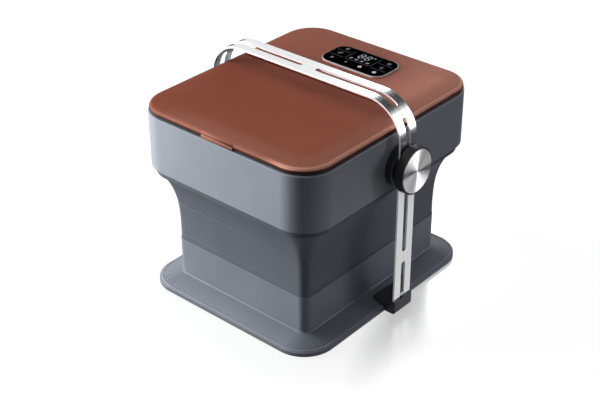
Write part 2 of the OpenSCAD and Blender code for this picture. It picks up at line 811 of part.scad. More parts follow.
// Straight slot through a leg, between two heights
module leg_slot(low, high) {
  translate([bar_in - 1, -slot_w / 2, low + slot_w / 2]) cube([bar_t + 2, slot_w, high - low - slot_w]);
  for (z = [low + slot_w / 2, high - slot_w / 2]) translate([0, 0, z]) along_x(slot_w, bar_in - 1, bar_x + 1);
}

// Slot through the bend, between two angles above the horizontal
module bend_slot(from, to) {
  translate([bend_x, 0, bend_z]) {
    rotate([90, 0, 0]) rotate(from) linear_extrude(slot_w, center = true) intersection() {
      difference() {
        circle(bend_r + 1);
        circle(bend_r - bar_t - 1);
      }
      polygon([[0, 0], [2 * bend_r, 0], 2 * bend_r * [cos(to - from), sin(to - from)]]);
    }
    for (a = [from, to]) rotate([0, -a, 0]) along_x(slot_w, bend_r - bar_t - 1, bend_r + 1);
  }
}

// Carrying frame: one flat bar bent to an arch, with a guide slot in each leg
module handle_bar() {
  color("#d4d6d9") translate([0, bar_y, 0]) difference() {
    rotate([90, 0, 0]) linear_extrude(bar_w, center = true) difference() {
      arch(0);
      arch(bar_t);
    }
    for (side = [-1, 1]) sided(side) {
      leg_slot(foot_slot_low, foot_slot_top);
      leg_slot(guide_low, bend_z + slot_w / 2);
      bend_slot(0, guide_end - slot_turn);
      bend_slot(arch_end + slot_turn, 90);
      translate([arch_web + slot_w / 2, -slot_w / 2, bar_top - bar_t - 1])
        cube([bend_x - arch_web - slot_w / 2, slot_w, bar_t + 2]);
      translate([arch_web + slot_w / 2, 0, bar_top - bar_t - 1]) cylinder(d = slot_w, h = bar_t + 2);
    }
  }
}

// Foot bracket: pocket for the end of the bar, back plate and a tongue on the footplate
module bracket(side) {
  edge = shell_w / 2;
  half_w = bar_w / 2 + bracket_lip;
  back_x = bar_in - backplate_t;
  tip = edge - tongue_l;
  round_r = 8;
  color("#232528") sided(side) translate([0, bar_y, 0]) difference() {
    union() {
      rotate([90, 0, 0]) linear_extrude(2 * half_w, center = true) polygon([
        [edge, 0.8], [bar_x, 0.8], [bar_x + 3, 3.8], [bar_x + 3, bracket_h], [back_x, bracket_h],
        [edge, slope_at(edge) + tongue_t], [tip, slope_at(tip) + tongue_t], [tip, slope_at(tip)],
        [edge - 1, rim_z], [edge, rim_z - 1]
      ]);
      translate([back_x, 0, 0]) rotate([90, 0, 90]) linear_extrude(backplate_t) {
        translate([-half_w, 3]) square([2 * half_w, backplate_h - 3 - round_r]);
        translate([-half_w + round_r, 3]) square([2 * (half_w - round_r), backplate_h - 3]);
        for (y = [-1, 1]) translate([y * (half_w - round_r), backplate_h - round_r]) circle(round_r);
      }
    }
    translate([bar_in, -bar_w / 2, bar_low]) cube([bar_t, bar_w, backplate_h]);
    translate([0, 0, pin_z]) along_x(screw_dia, back_x - 1, bar_x);
    for (y = bracket_screw_y) translate([bracket_screw_x, y - bar_y, 0])
      cylinder(d = screw_dia, h = slope_at(bracket_screw_x) + tongue_t - 1);
  }
}

// Locating screw in each foot slot, and the screws up through the footplate into the tongue
module bracket_screws() {
  color("silver") for (side = [-1, 1]) sided(side) {
    translate([0, bar_y, pin_z]) {
      along_x(pin_dia, bar_in, bar_x - 0.4);
      along_x(screw_dia, bar_in - backplate_t, bar_in + eps);
    }
    for (y = bracket_screw_y) translate([bracket_screw_x, y, 0]) {
      translate([0, 0, cover_top + 1])
        cylinder(d = screw_dia, h = slope_at(bracket_screw_x) + tongue_t - 2 - cover_top);
      translate([0, 0, cover_top + 1])
        cylinder(d = screw_head, h = slope_at(bracket_screw_x + screw_head) - wall - cover_top - 1);
    }
  }
}

// Round boss between the upper shell and the bar
module boss(side) {
  color("#1d1f22") at_knob(side) rotate([0, 90, 0]) translate([0, 0, shell_w / 2]) difference() {
    rotate_extrude() polygon([
      [stud_dia / 2, 0], [boss_dia / 2, 0], [boss_dia / 2, bar_in - gap - shell_w / 2 - 2],
      [boss_dia / 2 - 2, bar_in - gap - shell_w / 2], [stud_dia / 2, bar_in - gap - shell_w / 2]
    ]);
    for (a = [90, 210, 330]) rotate(a - 90) translate([-boss_screw_r, 0, -eps]) cylinder(d = screw_dia, h = 9);
  }
}

// Screws that hold the bosses from inside the shell
module boss_screws() {
  color("silver") for (side = [-1, 1]) at_knob(side)
    for (a = [90, 210, 330]) rotate([a, 0, 0]) translate([0, boss_screw_r, 0]) {
      along_x(screw_head, corner_x + shell_in - 2, corner_x + shell_in);
      along_x(screw_dia, corner_x + shell_in - eps, shell_w / 2 + 8);
    }
}

// Threaded stud through the guide slot, with a flange inside the shell
module stud(side) {
  color("silver") at_knob(side) {
    along_x(stud_flange, corner_x + shell_in - 3, corner_x + shell_in);
    along_x(stud_dia, corner_x + shell_in - eps, stud_end);
  }
}

// Slip washer between the bar and the knob
module washer(side) {
  color("#c8c8c8") at_knob(side) difference() {
    along_x(washer_dia, washer_x, washer_x + washer_t);
    along_x(stud_dia, washer_x - 1, knob_x + 1);
  }
}

// Black knob body, bored for the stud and recessed for its cap
module knob(side) {
  r = knob_dia / 2;
  color("#222326") at_knob(side) rotate([0, 90, 0]) translate([0, 0, knob_x]) rotate_extrude() polygon([
    [stud_dia / 2 + run, 0], [r - 2, 0], [r, 2], [r, knob_h - 1], [r - 1, knob_h],
    [cap_dia / 2, knob_h], [cap_dia / 2, knob_h - cap_seat], [stud_dia / 2 + run, knob_h - cap_seat]
  ]);
}

// Spun metal cap, slightly dished towards its centre
module knob_cap(side) {
  color("#e4e5e7") at_knob(side) rotate([0, 90, 0])
    translate([0, 0, knob_x + knob_h - cap_seat]) rotate_extrude()
      polygon([[0, 0], [cap_dia / 2, 0], [cap_dia / 2, cap_seat + 0.4], [cap_dia / 2 - 0.6, cap_seat + 0.6], [0, cap_seat]]);
}

base_tub();
bottom_cover();
cover_screws();
rubber_feet();
foot_plate(-1);  // foot_plate_left
foot_plate(1);  // foot_plate_right
roller(-1, roller_y[0]);  // roller_front_left
roller(1, roller_y[0]);  // roller_front_right
roller(-1, roller_y[1]);  // roller_rear_left
roller(1, roller_y[1]);  // roller_rear_right
roller_axles();
drain_plug();
drain_seal();
suction_grille();
temperature_probe();
pump_housing();
pump_impeller();
pump_motor();
pump_hose();
heater_block();
main_board();
power_inlet();
silicone_wall();
lower_clamp_ring();
upper_clamp_ring();
upper_shell();
upper_liner();
rim_rails();
deck_frame();
rear_deck();
deck_screws();
panel_bezel();
panel_glass();
display_board();
lid_rod();
lid_shoes();
lid_flap();
lid_liner();
lid_seal();
lid_tab();
handle_bar();
bracket(-1);  // bracket_left
bracket(1);  // bracket_right
bracket_screws();
boss(-1);  // boss_left
boss(1);  // boss_right
boss_screws();
stud(-1);  // stud_left
stud(1);  // stud_right
washer(-1);  // washer_left
washer(1);  // washer_right
knob(-1);  // knob_left
knob(1);  // knob_right
knob_cap(-1);  // knob_cap_left
knob_cap(1);  // knob_cap_right
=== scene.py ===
import math

import bmesh
import bpy
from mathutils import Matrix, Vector


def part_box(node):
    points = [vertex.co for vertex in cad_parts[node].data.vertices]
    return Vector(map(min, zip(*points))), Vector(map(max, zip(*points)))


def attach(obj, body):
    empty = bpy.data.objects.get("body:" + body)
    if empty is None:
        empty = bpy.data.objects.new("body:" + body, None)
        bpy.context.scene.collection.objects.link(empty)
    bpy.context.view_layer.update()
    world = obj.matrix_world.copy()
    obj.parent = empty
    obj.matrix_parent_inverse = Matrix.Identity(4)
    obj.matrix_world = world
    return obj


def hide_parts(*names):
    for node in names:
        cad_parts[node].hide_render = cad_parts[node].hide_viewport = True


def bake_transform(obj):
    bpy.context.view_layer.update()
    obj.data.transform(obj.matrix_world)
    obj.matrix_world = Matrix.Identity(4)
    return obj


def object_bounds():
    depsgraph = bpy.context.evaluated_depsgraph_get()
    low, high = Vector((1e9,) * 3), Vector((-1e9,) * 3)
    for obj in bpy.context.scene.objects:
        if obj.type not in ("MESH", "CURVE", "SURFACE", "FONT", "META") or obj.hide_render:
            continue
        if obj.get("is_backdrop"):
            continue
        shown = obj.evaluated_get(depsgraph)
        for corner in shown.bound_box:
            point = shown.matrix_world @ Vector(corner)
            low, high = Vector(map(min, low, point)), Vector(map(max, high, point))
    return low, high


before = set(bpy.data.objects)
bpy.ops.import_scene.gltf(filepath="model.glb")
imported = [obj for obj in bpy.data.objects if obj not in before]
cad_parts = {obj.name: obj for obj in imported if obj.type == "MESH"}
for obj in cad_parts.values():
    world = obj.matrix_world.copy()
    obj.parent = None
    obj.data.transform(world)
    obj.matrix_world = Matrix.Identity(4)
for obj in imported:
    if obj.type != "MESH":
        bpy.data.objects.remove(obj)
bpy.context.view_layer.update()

scene = bpy.context.scene
scene.view_settings.view_transform = "Standard"

# ---------------------------------------------------------------------------
# Studio sweep
# A wide white table top that runs on past the light. It keeps a faint mirror
# image of the bath and its soft shadow, with a painted shadow added beside its right side
# and a painted pool of light round it that shows only in reflections.


class Socket:
    """An output of a shader node. Arithmetic on it adds Math nodes."""

    def __init__(self, tree, port):
        self.tree, self.port = tree, port

    def add(self, kind, settings=None, inputs=None, out=0):
        """Adds a node, sets its settings, then fills its inputs by name or number."""
        made = self.tree.nodes.new(kind)
        for name, value in (settings or {}).items():
            setattr(made, name, value)
        for name, value in (inputs or {}).items():
            if isinstance(value, Socket):
                self.tree.links.new(value.port, made.inputs[name])
            else:
                made.inputs[name].default_value = value
        return Socket(self.tree, made.outputs[out]) if made.outputs else made

    def maths(self, operation, *values):
        return self.add("ShaderNodeMath", {"operation": operation}, dict(enumerate(values)))

    def __add__(self, other):
        return self.maths("ADD", self, other)

    def __sub__(self, other):
        return self.maths("SUBTRACT", self, other)

    def __mul__(self, other):
        return self.maths("MULTIPLY", self, other)

    def __rsub__(self, other):
        return self.maths("SUBTRACT", other, self)

    __radd__, __rmul__ = __add__, __mul__

    def most(self, other):
        """The larger of two values."""
        return self.maths("MAXIMUM", self, other)

    def vector(self, operation, *values, out=0):
        inputs = dict(enumerate((self,) + values))
        return self.add("ShaderNodeVectorMath", {"operation": operation}, inputs, out)

    def axis(self, number):
        """One coordinate of a place: 0 for X, 1 for Y, 2 for Z."""
        return self.add("ShaderNodeSeparateXYZ", None, {0: self}, number)

    def band(self, low, high):
        """0 below low and 1 above high, smooth between them."""
        ramp = {"interpolation_type": "SMOOTHSTEP"}
        return self.add("ShaderNodeMapRange", ramp, {0: self, 1: low, 2: high})

    def blend(self, first, second):
        """A colour that goes from the first to the second as this goes from 0 to 1."""
        mix = {"data_type": "RGBA", "clamp_factor": True}
        return self.add("ShaderNodeMix", mix, {0: self, 6: first, 7: second}, out=2)


def new_tree(name):
    """An empty material and the socket-less handle that adds its nodes."""
    material = bpy.data.materials.new(name)
    material.use_nodes = True
    material.node_tree.nodes.clear()
    return material, Socket(material.node_tree, None)


def light_rays(nodes):
    """Whether a ray comes from the camera, off a glossy surface or through a clear one."""
    kinds = ("Is Camera Ray", "Is Glossy Ray", "Is Transmission Ray")
    return [nodes.add("ShaderNodeLightPath", out=kind) for kind in kinds]


# Where the corner arcs of the bath have their centres, seen from above.
corner = Vector((0.120, 0.150))


def past_corners(place):
    """How far a place lies out from the rectangle between the corner centres."""
    across = place.vector("ABSOLUTE").vector("SUBTRACT", (corner.x, corner.y, 1))
    return across.vector("MAXIMUM", (0, 0, 0)).vector("LENGTH", out=1)


table_size = 12
table_grey, table_glow, table_blur = 0.16, 0.95, 0.24
table_gloss, side_gloss = 0.11, 0.26
gloss_from, gloss_to = 0.075, 0.175
side_way, side_from, side_to = (1, 0.5, 0), 0.12, 0.20
shade_from, shade_to, contact_shade = 0.070, 0.170, 0.20
table_mirrored, table_dusk = 0.72, 0.01
dusk_mid, dusk_from, dusk_to = (0.26, -0.02, 0), 0.34, 0.43

table_top, nodes = new_tree("studio_table")
rays = light_rays(nodes)
place = nodes.add("ShaderNodeTexCoord", out="Object")
# Painted pool of light: to rays off glossy surfaces the table glows brighter round the bath and dims beyond
# it.
light_pool = 1 - place.vector("DISTANCE", dusk_mid, out=1).band(dusk_from, dusk_to)
mirrored = light_pool * (table_mirrored - table_dusk) + table_dusk
seen = rays[0].most(rays[1].most(rays[2]) * mirrored)
clear = past_corners(place)
right = place.vector("DOT_PRODUCT", side_way, out=1).band(side_from, side_to)
gloss = (right * side_gloss + table_gloss) * (1 - clear.band(gloss_from, gloss_to))
# Painted shadow: the table's glow is dimmed beside the bath's right side, on top of the shadow that the lamps
# cast.
shade = right * (1 - clear.band(shade_from, shade_to)) * contact_shade
matt = nodes.add("ShaderNodeBsdfDiffuse", None, {"Color": (table_grey, table_grey, table_grey, 1)})
glow = nodes.add("ShaderNodeEmission", None, {"Color": (1, 1, 1, 1), "Strength": table_glow})
bright = nodes.add("ShaderNodeAddShader", None, {0: matt, 1: glow})
lit = nodes.add("ShaderNodeMixShader", None, {0: seen * (1 - shade), 1: matt, 2: bright})
mirror = nodes.add("ShaderNodeBsdfGlossy", None, {"Color": (1, 1, 1, 1), "Roughness": table_blur})
table = nodes.add("ShaderNodeMixShader", None, {0: gloss, 1: lit, 2: mirror})
nodes.add("ShaderNodeOutputMaterial", None, {"Surface": table})

mesh = bmesh.new()
half = table_size / 2
ends = ((-half, -half), (half, -half), (half, half), (-half, half))
mesh.faces.new([mesh.verts.new((x, y, 0)) for x, y in ends])
floor_mesh = bpy.data.meshes.new("studio_table")
mesh.to_mesh(floor_mesh)
mesh.free()
floor = bpy.data.objects.new("studio_table", floor_mesh)
scene.collection.objects.link(floor)
floor.data.materials.append(table_top)
floor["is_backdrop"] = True

# ---------------------------------------------------------------------------
# Light and camera
# A low soft box stands to the front left under a large high one, with weak ones
# above, behind and, slightly violet, to the right. Metal mirrors a room that is
# white up to a dark ceiling, with one bright card beyond the right side.

world = bpy.data.worlds.new("white_room")
scene.world = world
world.use_nodes = True
world.node_tree.nodes.clear()
nodes = Socket(world.node_tree, None)
rays = light_rays(nodes)
room_level = 0.03
paper_top, dark_from, dark_level = math.sin(math.radians(33)), math.sin(math.radians(37)), 0.03
place = nodes.add("ShaderNodeTexCoord", out="Generated")
rise = place.axis(2)
mirrored = 1 - rise.band(paper_top, dark_from) * (1 - dark_level)

card_turn, card_half, card_soft = math.radians(24.8), 27, 2
card_top, card_fade, card_level = math.sin(math.radians(36)), 0.03, 3.6
card_way = (math.cos(card_turn), math.sin(card_turn), 0)
card_edges = [math.cos(math.radians(card_half + soft)) for soft in (card_soft, -card_soft)]
heading = place.vector("MULTIPLY", (1, 1, 0)).vector("NORMALIZE")
card = heading.vector("DOT_PRODUCT", card_way, out=1).band(*card_edges)
card = card * (1 - rise.band(card_top, card_top + card_fade))
mirrored = mirrored * (1 - card) + card * card_level
level = rays[0].most(rays[1].most(rays[2]) * mirrored).most(room_level)
background = nodes.add("ShaderNodeBackground", None, {"Color": (1, 1, 1, 1), "Strength": level})
nodes.add("ShaderNodeOutputWorld", None, {"Surface": background})


def soft_box(name, place, aim, size, power, colour=(1, 1, 1)):
    """A square soft box at a place, turned to face what it lights."""
    lamp = bpy.data.lights.new(name, "AREA")
    lamp.shape, lamp.size, lamp.energy, lamp.color = "SQUARE", size, power, colour
    box = bpy.data.objects.new(name, lamp)
    box.location = place
    box.rotation_euler = (Vector(aim) - Vector(place)).to_track_quat("-Z", "Y").to_euler()
    scene.collection.objects.link(box)


middle = (0, 0, 0.16)
soft_box("key_box", (-1.6, -1.1, 0.45), middle, 0.8, 51)
soft_box("high_box", (-2.4, -1.2, 2.6), middle, 2.0, 46)
soft_box("top_box", (0.4, 0.3, 2.6), middle, 1.8, 9)
soft_box("back_box", (-0.85, 2.05, 1.35), middle, 1.0, 7)
soft_box("right_box", (1.9, 1.5, 0.45), middle, 0.7, 5.5, (1.0, 0.93, 1.10))

azimuth, elevation, distance, aim_height = math.radians(40.59), math.radians(30.535), 2.007, 0.1566
lens = bpy.data.cameras.new("camera")
lens.lens, lens.sensor_width = 75.33, 36
lens.shift_x, lens.shift_y = -0.0145, -0.0270
camera = bpy.data.objects.new("camera", lens)
level_way = Vector((-math.sin(azimuth), math.cos(azimuth), 0))
towards = level_way * math.cos(elevation) - Vector((0, 0, math.sin(elevation)))
camera.location = Vector((0, 0, aim_height)) - towards * distance
camera.rotation_mode = "QUATERNION"
camera.rotation_quaternion = towards.to_track_quat("-Z", "Y")
scene.collection.objects.link(camera)
scene.camera = camera

# ---------------------------------------------------------------------------
# Footplate, lower band and tub floor
# One injection-moulded part in blue-grey ABS with a fine spark-eroded grain.
# Its rim is broken by a small radius that catches a thin line of light.


def moulded(name, colour, rough=0.42, grain=0.05, speckle=0.035, level=0.3):
    """Moulded plastic: even colour with faint flow mottling, fine grain, and slightly polished patches."""
    material, nodes = new_tree(name)
    place = nodes.add("ShaderNodeTexCoord", out="Object")
    flow = nodes.add("ShaderNodeTexNoise", None, {"Vector": place, "Scale": 9.0, "Detail": 3.0})
    fine = nodes.add("ShaderNodeTexNoise", None, {"Vector": place, "Scale": 2600.0, "Detail": 1.0})
    paler = tuple(min(1, c * (1 + speckle)) for c in colour) + (1,)
    deeper = tuple(c * (1 - speckle) for c in colour) + (1,)
    tint = flow.band(0.35, 0.65).blend(deeper, paler)
    bump = nodes.add("ShaderNodeBump", None, {"Height": fine, "Strength": grain, "Distance": 0.0004})
    shader = nodes.add("ShaderNodeBsdfPrincipled", None, {
        "Base Color": tint, "Roughness": (flow - 0.5) * 0.12 + rough, "Normal": bump,
        "Specular IOR Level": level,
    })
    nodes.add("ShaderNodeOutputMaterial", None, {"Surface": shader})
    return material


def dress(material, *names):
    """Gives CAD nodes their finish."""
    for name in names:
        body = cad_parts[name]
        body.data.materials.clear()
        body.data.materials.append(material)


def ease_edges(radius, *names, limit=35, segments=3):
    """Breaks the sharp edges of CAD nodes with a small moulded or deburred radius."""
    for name in names:
        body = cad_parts[name]
        if "custom_normal" in body.data.attributes:
            body.data.attributes.remove(body.data.attributes["custom_normal"])
        body.data.shade_smooth()
        weld = body.modifiers.new("weld", "WELD")
        weld.merge_threshold = 0.00002
        flat = body.modifiers.new("flat", "DECIMATE")
        flat.decimate_type, flat.angle_limit = "DISSOLVE", math.radians(0.3)
        edge = body.modifiers.new("edge", "BEVEL")
        edge.width, edge.segments, edge.limit_method = radius, segments, "ANGLE"
        edge.angle_limit, edge.harden_normals = math.radians(limit), True
        edge.use_clamp_overlap = True


def ring_of(r, z, steps=14):
    """Points of the rounded outline at a radius out from the corner centres."""
    points = []
    for sx, sy, start in ((1, -1, -90), (1, 1, 0), (-1, 1, 90), (-1, -1, 180)):
        for k in range(steps + 1):
            a = math.radians(start + 90 * k / steps)
            points.append(Vector((sx * corner.x + r * math.cos(a), sy * corner.y + r * math.sin(a), z)))
    return points


def skin(mesh, rings, closed=False):
    """Faces from each ring of points to the next, and from the last to the first if closed."""
    for one, two in zip(rings, rings[1:] + rings[:1] if closed else rings[1:]):
        for k in range(len(one)):
            n = (k + 1) % len(one)
            mesh.faces.new((one[k], one[n], two[n], two[k]))


def cap(mesh, rings):
    """Closes the first and the last ring."""
    mesh.faces.new(list(reversed(rings[0])))
    mesh.faces.new(rings[-1])


def loft(profile, closed=True):
    """Skins the outlines of a profile of (r, z) stations into one mesh."""
    mesh = bmesh.new()
    rings = [[mesh.verts.new(point) for point in ring_of(r, z)] for r, z in profile]
    skin(mesh, rings, closed)
    return mesh, rings


def piece_of(mesh, name, material, smooth=40):
    """Turns a bmesh into a named piece with a finish and smooth shading up to an angle."""
    bmesh.ops.recalc_face_normals(mesh, faces=mesh.faces)
    data = bpy.data.meshes.new(name)
    mesh.to_mesh(data)
    mesh.free()
    data.materials.append(material)
    data.shade_smooth()
    data.set_sharp_from_angle(angle=math.radians(smooth))
    piece = bpy.data.objects.new(name, data)
    scene.collection.objects.link(piece)
    return piece


footplate_plastic = moulded("footplate_plastic", (0.218, 0.243, 0.283), rough=0.44)
dress(footplate_plastic, "base_tub")
ease_edges(0.0008, "base_tub")

# A bead runs round the foot of the band, and a lip round the top of the rim. Both are moulded
# in a paler copy of the footplate plastic, a painted highlight that draws them as lines of light.
band_out, band_foot = 0.0155, 0.018
bead_highlight_plastic = moulded("bead_highlight_plastic", (0.28, 0.31, 0.355), rough=0.44)
bead_out, bead_up, bead_in, bead_sunk, bead_flare = 0.0016, 0.0011, 0.0010, 0.0020, 0.0004
foot_bead = piece_of(loft([
    (band_out - bead_in, band_foot - bead_sunk), (band_out + bead_out + bead_flare, band_foot - bead_sunk),
    (band_out + bead_out, band_foot + bead_up * 0.4), (band_out + bead_out * 0.7, band_foot + bead_up),
    (band_out - bead_in, band_foot + bead_up),
])[0], "foot_bead", bead_highlight_plastic)
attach(foot_bead, "base")

plate_out, plate_round, rim_top = 0.054, 0.001, 0.0075
strip_in, strip_out = 0.0020, 0.0003
# Two thin dark strips run round the side of the footplate: one near its foot and one just under the rim.
dark_strip_plastic = moulded("dark_strip_plastic", (0.045, 0.050, 0.060), rough=0.55)
for name, low, high in (("low_dark_strip", 0.0015, 0.0030), ("edge_line", 0.0056, 0.0066)):
    strip = piece_of(loft([
        (plate_out - strip_in, low), (plate_out + strip_out, low), (plate_out + strip_out, high - strip_out),
        (plate_out, high), (plate_out - strip_in, high),
    ])[0], name, dark_strip_plastic)
    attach(strip, "base")

lip_in, lip_half, lip_up, lip_seat, lip_sunk = 0.0048, 0.0014, 0.0007, 0.0001, 0.001
slope = (band_foot - rim_top) / (plate_out - plate_round - band_out)
lip = []
for share in (-1, -0.7, -0.35, 0, 0.35, 0.7, 1):
    out = plate_out - lip_in + lip_half * share
    lip.append((out, band_foot - slope * (out - band_out) + lip_up * (1 - share * share) - lip_seat))
lip = [(lip[0][0], lip[0][1] - lip_sunk)] + lip + [(lip[-1][0], lip[-1][1] - lip_sunk)]
plate_lip = piece_of(loft(lip)[0], "plate_lip", bead_highlight_plastic)
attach(plate_lip, "base")

# ---------------------------------------------------------------------------
# Upper shell
# A straight-sided moulding in a lighter grey than the footplate, with an eased
# lower edge and a fine line of light along its rim.

shell_plastic = moulded("shell_plastic", (0.375, 0.41, 0.465), rough=0.40)
dress(shell_plastic, "upper_shell")
ease_edges(0.0012, "upper_shell")

# ---------------------------------------------------------------------------
# Folding wall
# Soft silicone that flares from the lower band up into the shell. It is one
# continuous skin with a bead near the top, a thinned ring where it folds and a
# fine raised hem near its foot.

wall_skin = 0.0025
wall_low, wall_high = 0.064, 0.240
band_top, flare_top = 0.082, 0.212
band_in, ledge, leg_out, cuff_low = 0.0125, 0.0010, 0.0473, 0.2070
flare_power = 3.5


def wall_radius(z):
    """Outside of the flared skin at a height, measured out from the corner centres."""
    share = min(1, max(0, (z - band_top) / (flare_top - band_top)))
    return band_out - ledge + (leg_out - band_out + ledge) * share ** flare_power


cuff_in, cuff_under, cuff_ease, cuff_rise, seat_gap = 0.0010, 0.0005, 0.0002, 0.0008, 0.0004
# Height, size and half width of the bead under the cuff, the fold and the hem.
ridges = ((cuff_low - 0.0036, 0.0012, 0.0012), (0.150, -0.0007, 0.0015), (0.090, 0.0005, 0.0010))
wall_silicone = moulded("wall_silicone", (0.133, 0.151, 0.183), rough=0.55, grain=0.03, level=0.25)
wall_steps = 200
heights = [band_top + (flare_top - band_top) * k / wall_steps for k in range(wall_steps + 1)]
outside = [(band_in, wall_low), (band_in, band_top), (band_out - ledge - seat_gap, band_top)]
for z in [z for z in heights[1:] if z < cuff_low]:
    relief = sum(size * math.exp(-((z - at) / half) ** 2) for at, size, half in ridges)
    outside.append((wall_radius(z) + relief, z))
outside += [(wall_radius(cuff_low) - cuff_under, cuff_low), (leg_out - cuff_in, cuff_low),
            (leg_out - cuff_ease, cuff_low + cuff_rise), (leg_out, wall_high),
            (leg_out - wall_skin, wall_high)]
inside = [(wall_radius(z) - wall_skin, max(z, band_top + wall_skin)) for z in reversed(heights)]
inside += [(band_in - wall_skin, band_top + wall_skin), (band_in - wall_skin, wall_low)]
folding_wall = piece_of(loft(outside + inside)[0], "folding_wall", wall_silicone)
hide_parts("silicone_wall")
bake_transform(folding_wall)

# ---------------------------------------------------------------------------
# Leather-look top
# A stiff board wrapped in smooth terracotta leather: the front part opens as
# the lid and the rear part carries the display. The skin rolls over the edge.

top_low, top_high = 0.3165, 0.3245
top_out = 0.0523
lid_seam, deck_seam = 0.0325, 0.0355

leather, nodes = new_tree("top_leather")
place = nodes.add("ShaderNodeTexCoord", out="Object")
hide = nodes.add("ShaderNodeTexNoise", None, {"Vector": place, "Scale": 7.0, "Detail": 4.0, "Roughness": 0.6})
pores = nodes.add("ShaderNodeTexVoronoi", {"feature": "DISTANCE_TO_EDGE"}, {"Vector": place, "Scale": 900.0})
# Painted light: the hide is painted paler towards the front right, along its edges there and on the rear
# part, standing in for sheen and the fall of light. A painted highlight runs along the right edge, and
# painted shade darkens the skin where it turns under.
outward, side_spot, rear_spot = past_corners(place), place.axis(0), place.axis(1)
spot = place.vector("DOT_PRODUCT", (1, -0.6, 0), out=1)
sheen_side = spot.band(-0.06, 0.06)
right_rim_highlight = outward.band(0.0457, 0.0475) * side_spot.band(0.08, 0.13) * (1 - rear_spot.band(0.175, 0.200))
under_rim_shade = outward.band(0.0513, 0.0520) * (1 - outward.band(0.0524, 0.0526))
# The tone leans paler towards the front right, a painted fall of light over the hide's own mottling.
tone = hide.band(0.3, 0.7) * 0.35 + spot.band(-0.16, 0.24) * 0.65
tint = tone.blend((0.318, 0.083, 0.047, 1), (0.400, 0.115, 0.068, 1))
# Painted sheen on the rear part, the rear right and the front right edges, a painted highlight on the right
# rim and painted shade under it.
for mask, colour in (
    (rear_spot.band(0.03, 0.07) * 0.35, (0.52, 0.20, 0.145, 1)),
    (side_spot.band(0.0, 0.17) * rear_spot.band(0.02, 0.10) * 0.9, (0.80, 0.33, 0.235, 1)),
    (outward.band(0.006, 0.034) * sheen_side * 0.7, (0.45, 0.172, 0.120, 1)),
    (outward.band(0.040, 0.046) * sheen_side * 0.6, (0.48, 0.20, 0.145, 1)),
    (right_rim_highlight * 0.9, (0.98, 0.50, 0.36, 1)),
    (under_rim_shade, (0.12, 0.03, 0.018, 1)),
):
    tint = mask.blend(tint, colour)
bump = nodes.add("ShaderNodeBump", None, {"Height": pores, "Strength": 0.10, "Distance": 0.0003})
shader = nodes.add("ShaderNodeBsdfPrincipled", None, {
    "Base Color": tint, "Roughness": (hide - 0.5) * 0.1 + 0.45, "Normal": bump, "Specular IOR Level": 0.03,
})
nodes.add("ShaderNodeOutputMaterial", None, {"Surface": shader})

edge_roll, foot_ease, foot_turn, crown = 0.006, 0.0006, 0.004, 0.0016
roll_steps, crown_steps = 8, 10
roll_in, roll_low = top_out - edge_roll, top_high - crown - edge_roll
profile = [(top_out - foot_turn, top_low), (top_out - foot_ease, top_low), (top_out, top_low + foot_ease)]
for k in range(roll_steps + 1):
    a = math.radians(90 * k / roll_steps)
    profile.append((roll_in + edge_roll * math.cos(a), roll_low + edge_roll * math.sin(a)))
for k in range(1, crown_steps + 1):
    share = 1 - k / crown_steps
    profile.append((roll_in * share, top_high - crown * share ** 2))


def top_part(*planes):
    """The wrapped board, keeping what lies behind each (point, direction) plane."""
    mesh, rings = loft(profile, closed=False)
    bmesh.ops.contextual_create(mesh, geom=rings[-1])
    mesh.faces.new(list(reversed(rings[0])))
    bmesh.ops.remove_doubles(mesh, verts=mesh.verts, dist=1e-6)
    for point, way in planes:
        cut = bmesh.ops.bisect_plane(mesh, geom=mesh.verts[:] + mesh.edges[:] + mesh.faces[:],
                                     plane_co=point, plane_no=way, clear_outer=True)
        edges = [part for part in cut["geom_cut"] if isinstance(part, bmesh.types.BMEdge)]
        bmesh.ops.contextual_create(mesh, geom=edges)
    return mesh


rear_bevel = 0.002
bevel_plane = ((0, lid_seam - rear_bevel, top_high), (0, 1, 1))
lid_board = piece_of(top_part(((0, lid_seam, 0), (0, 1, 0)), bevel_plane), "lid_board", leather)
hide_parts("lid_flap")
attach(lid_board, "lid")
deck_board = piece_of(top_part(((0, deck_seam, 0), (0, -1, 0))), "deck_board", leather)
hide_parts("rear_deck")
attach(deck_board, "upper")

# A small dark oval is set into the rear deck in front of the display.
oval_mid, oval_half, oval_steps = (-0.0005, 0.0880), (0.0036, 0.0016), 20
oval_sunk, oval_proud = 0.0010, 0.0001
mesh = bmesh.new()
turns = [2 * math.pi * k / oval_steps for k in range(oval_steps)]
port = [(oval_mid[0] + oval_half[0] * math.cos(a), oval_mid[1] + oval_half[1] * math.sin(a)) for a in turns]
rings = [[mesh.verts.new((x, y, top_high + rise)) for x, y in port] for rise in (-oval_sunk, oval_proud)]
skin(mesh, rings)
cap(mesh, rings)
deck_dark_oval = piece_of(mesh, "deck_dark_oval", moulded("oval_black", (0.02, 0.016, 0.015), rough=0.4))
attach(deck_dark_oval, "upper")

# The pull tab is a strip of the same leather, rolled over the front edge.
tab_half, tab_low, tab_proud, tab_inner = 0.0315, 0.3128, 0.0007, 0.0010
tab_turn, tab_steps, tab_root, tab_ease = 72, 6, 0.0022, 0.0002
tab_rows = []
for k in range(tab_steps + 1):
    a = math.radians(tab_turn * (1 - k / tab_steps))
    reach = edge_roll + tab_proud * k / tab_steps
    tab_rows.append((roll_in + reach * math.cos(a), roll_low + reach * math.sin(a)))
tab_rows += [(top_out + tab_proud, tab_low + 4 * tab_ease), (top_out + tab_proud * 0.6, tab_low + tab_ease),
             (top_out, tab_low), (top_out - tab_inner, tab_low + tab_ease),
             (top_out - tab_inner, top_low + foot_ease), (roll_in, top_high - crown - tab_root)]
